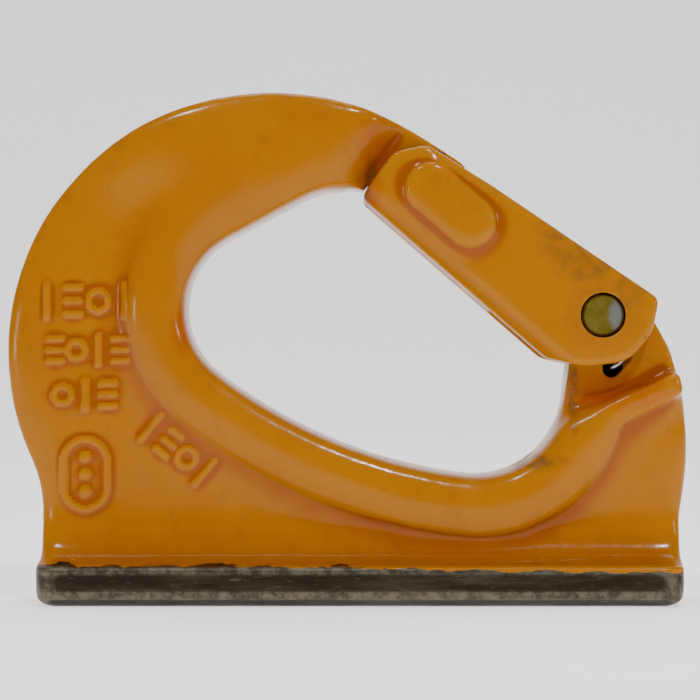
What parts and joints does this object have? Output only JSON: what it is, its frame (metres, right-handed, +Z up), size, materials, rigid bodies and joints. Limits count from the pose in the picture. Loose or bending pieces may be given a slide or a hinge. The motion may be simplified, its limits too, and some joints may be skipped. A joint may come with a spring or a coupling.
{
  "type": "weld-on lifting hook",
  "caption": "Forged weld-on lifting hook with a flat weld foot, a closed eye and a spring-loaded safety latch that swings inwards on a pinned lug.",
  "frame": {"origin": "centre of the weld face, on the underside of the foot", "axes": "+X along the foot towards the latch hinge, +Y across the thickness, +Z up from the weld face"},
  "size_m": [0.1753, 0.042, 0.1311],
  "materials": {
    "hook_paint": "glossy yellow paint over a forging, bare dark steel at the weld foot",
    "latch_paint": "glossy yellow paint with worn edges",
    "plated_pin": "yellow-passivated zinc plate",
    "spring_steel": "bright drawn wire and strip"
  },
  "bodies": {
    "hook": {"hook_body": "hook_paint", "hinge_pin": "plated_pin", "roll_pin": "spring_steel", "latch_spring": "spring_steel"},
    "safety_latch": {"latch": "latch_paint"}
  },
  "joints": [
    {"name": "latch_hinge", "type": "hinge", "parent": "hook", "child": "safety_latch", "pos_m": [0.062, 0, 0.074], "axis": [0, -1, 0], "range_deg": [0, 52], "stiffness_Nm_per_rad": 0.25, "springref_deg": -68.75, "deforming": ["latch_spring"]}
  ]
}
